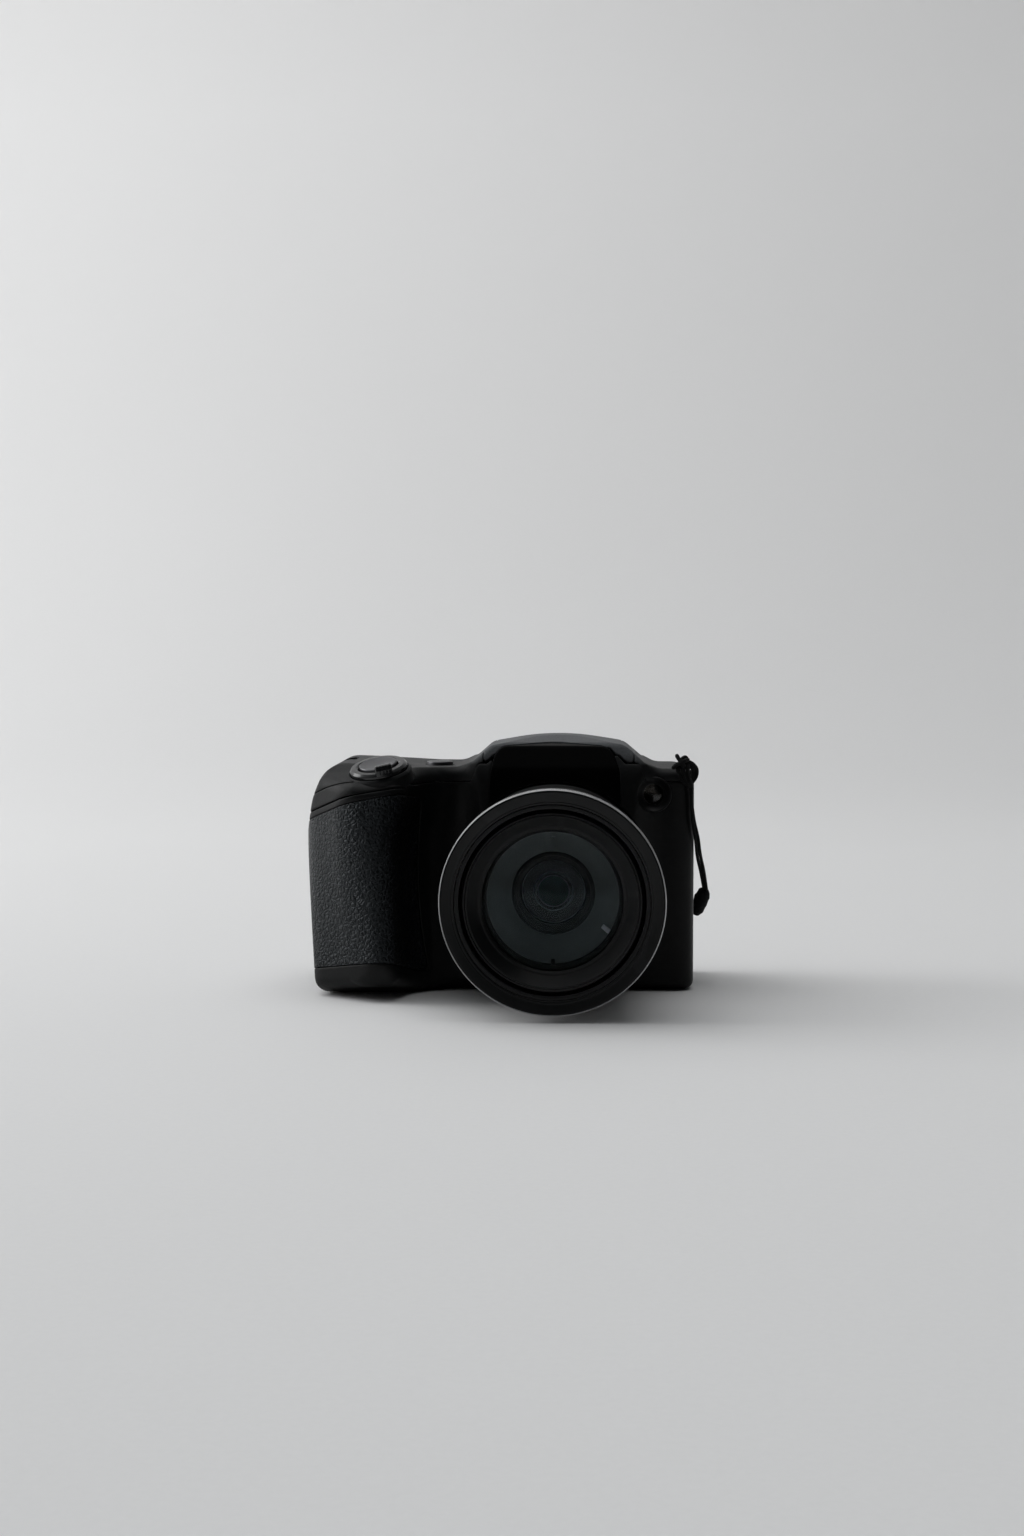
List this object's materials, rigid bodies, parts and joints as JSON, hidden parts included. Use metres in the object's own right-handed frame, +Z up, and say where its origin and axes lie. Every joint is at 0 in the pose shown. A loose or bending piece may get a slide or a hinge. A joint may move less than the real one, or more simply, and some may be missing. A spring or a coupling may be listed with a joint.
{
  "type": "bridge camera",
  "caption": "Compact bridge camera with a retracting zoom lens, leather-grained grip, pop-up flash, rear screen and controls, and a short black tether on its strap bar.",
  "frame": {"origin": "centre of the tripod socket's mouth in the base, straight under the lens axis", "axes": "+X towards the flat side, right in a front view; +Y towards the screen at the back; +Z up; the lens looks along -Y"},
  "size_m": [0.1101, 0.0851, 0.0689],
  "materials": {
    "cover_plastic": "fine texture",
    "deck_plastic": "fine texture",
    "grip_rubber": "leather grain",
    "gloss_black": "polished",
    "window_acrylic": "polished",
    "soft_rubber": "satin",
    "steel": "satin",
    "trim_silver": "bright",
    "lamp_clear": "moulded",
    "button_dark": "satin",
    "button_satin": "satin",
    "lens_black": "satin",
    "lens_grey": "matt",
    "optical_glass": "coated",
    "inner_plastic": "moulded",
    "pale_plastic": "moulded",
    "circuit_green": "solder mask",
    "battery_wrap": "label",
    "card_blue": "moulded",
    "flash_clear": "ribbed",
    "reflector": "bright",
    "brass_metal": "turned",
    "cord_black": "braided"
  },
  "bodies": {
    "camera_body": {"front_cover": "cover_plastic", "rear_cover": "cover_plastic", "top_cover": "deck_plastic", "grip_skin": "grip_rubber", "nameplate": "gloss_black", "lcd_window": "window_acrylic", "usb_port": "steel", "tripod_socket": "brass_metal", "strap_bars": "steel", "focus_lamp": "lamp_clear", "case_screws": "steel", "key_board": "circuit_green", "door_pin": "steel", "battery_box": "inner_plastic", "battery": "battery_wrap", "memory_card": "card_blue", "flash_pin": "steel", "flash_tray": "inner_plastic", "flash_capacitor": "gloss_black", "lens_tube": "lens_black", "front_bezel": "lens_black", "trim_ring": "trim_silver", "zoom_motor": "steel", "shutter_unit": "inner_plastic", "lens_base": "inner_plastic", "image_sensor": "circuit_green", "main_board": "circuit_green", "chassis": "steel", "lcd_panel": "steel", "tether_hitch": "cord_black", "tether_cord": "cord_black", "tether_bead": "cord_black"},
    "rear_barrel": {"zoom_barrel_rear": "lens_black"},
    "front_barrel": {"zoom_barrel_front": "lens_black", "front_lens_ring": "lens_black", "front_lens": "optical_glass", "front_cell": "lens_grey", "second_lens": "optical_glass"},
    "cam": {"cam_ring": "pale_plastic"},
    "pinion": {"zoom_pinion": "pale_plastic"},
    "variator": {"variator_cell": "lens_black", "variator_lens": "optical_glass"},
    "focus_group": {"focus_lens": "optical_glass"},
    "shutter": {"shutter_button": "button_satin"},
    "lever": {"zoom_lever": "button_dark"},
    "power": {"power_button": "button_dark"},
    "lid": {"flash_lid": "deck_plastic", "flash_head": "inner_plastic", "flash_window": "flash_clear", "flash_reflector": "reflector", "flash_tube": "flash_clear"},
    "door": {"battery_door": "cover_plastic"},
    "terminal_flap": {"terminal_cover": "soft_rubber"},
    "movie": {"movie_button": "button_dark"},
    "playback": {"playback_button": "button_dark"},
    "menu": {"menu_button": "button_dark"},
    "set": {"set_button": "button_dark"},
    "pad_carrier": {"dpad_carrier": "pale_plastic"},
    "pad": {"dpad_ring": "button_dark"}
  },
  "joints": [
    {"name": "zoom_extend", "type": "slide", "parent": "camera_body", "child": "rear_barrel", "axis": [0, -1, 0], "range_m": [0, 0.026]},
    {"name": "front_extend", "type": "slide", "parent": "rear_barrel", "child": "front_barrel", "axis": [0, -1, 0], "range_m": [0, 0.024]},
    {"name": "cam_turn", "type": "hinge", "parent": "camera_body", "child": "cam", "pos_m": [0, -0.03, 0.03], "axis": [0, -1, 0], "range_deg": [0, 120]},
    {"name": "pinion_turn", "type": "hinge", "parent": "camera_body", "child": "pinion", "pos_m": [-0.02128, -0.013, 0.05128], "axis": [0, -1, 0], "range_deg": [-890, 0]},
    {"name": "variator_slide", "type": "slide", "parent": "camera_body", "child": "variator", "axis": [0, -1, 0], "range_m": [0, 0.008]},
    {"name": "focus_slide", "type": "slide", "parent": "camera_body", "child": "focus_group", "axis": [0, -1, 0], "range_m": [-0.001, 0.001]},
    {"name": "shutter_press", "type": "slide", "parent": "camera_body", "child": "shutter", "axis": [0.1338, 0.2756, -0.9519], "range_m": [0, 0.0012], "stiffness_N_per_m": 300},
    {"name": "zoom_lever_turn", "type": "hinge", "parent": "camera_body", "child": "lever", "pos_m": [-0.0464, -0.031, 0.0607], "axis": [-0.1338, -0.2756, 0.9519], "range_deg": [-20, 20], "stiffness_Nm_per_rad": 0.02},
    {"name": "power_press", "type": "slide", "parent": "camera_body", "child": "power", "axis": [0, 0, -1], "range_m": [0, 0.0006], "stiffness_N_per_m": 400},
    {"name": "flash_lift", "type": "hinge", "parent": "camera_body", "child": "lid", "pos_m": [0.001, 0.0095, 0.0655], "axis": [-1, 0, 0], "range_deg": [0, 55]},
    {"name": "battery_door_turn", "type": "hinge", "parent": "camera_body", "child": "door", "pos_m": [-0.0416, -0.0076, 0.0009], "axis": [0, -1, 0], "range_deg": [0, 90]},
    {"name": "terminal_cover_turn", "type": "hinge", "parent": "camera_body", "child": "terminal_flap", "pos_m": [0.03725, -0.0057, 0.0105], "axis": [0, 0, -1], "range_deg": [0, 100]},
    {"name": "movie_press", "type": "slide", "parent": "camera_body", "child": "movie", "axis": [0, -1, 0], "range_m": [0, 0.0006], "stiffness_N_per_m": 400},
    {"name": "playback_press", "type": "slide", "parent": "camera_body", "child": "playback", "axis": [0, -1, 0], "range_m": [0, 0.0006], "stiffness_N_per_m": 400},
    {"name": "menu_press", "type": "slide", "parent": "camera_body", "child": "menu", "axis": [0, -1, 0], "range_m": [0, 0.0006], "stiffness_N_per_m": 400},
    {"name": "set_press", "type": "slide", "parent": "camera_body", "child": "set", "axis": [0, -1, 0], "range_m": [0, 0.0006], "stiffness_N_per_m": 400},
    {"name": "pad_left_right", "type": "hinge", "parent": "camera_body", "child": "pad_carrier", "pos_m": [-0.049, 0.0148, 0.026], "axis": [0, 0, 1], "range_deg": [-3, 3], "stiffness_Nm_per_rad": 0.05},
    {"name": "pad_up_down", "type": "hinge", "parent": "pad_carrier", "child": "pad", "pos_m": [-0.049, 0.0148, 0.026], "axis": [1, 0, 0], "range_deg": [-3, 3], "stiffness_Nm_per_rad": 0.05}
  ],
  "couplings": [
    {"joint": "front_extend", "follows": "zoom_extend", "ratio": 0.92},
    {"joint": "cam_turn", "follows": "zoom_extend", "rad_per_m": 80},
    {"joint": "pinion_turn", "follows": "zoom_extend", "rad_per_m": -586.67},
    {"joint": "variator_slide", "follows": "zoom_extend", "ratio": 0.3}
  ]
}
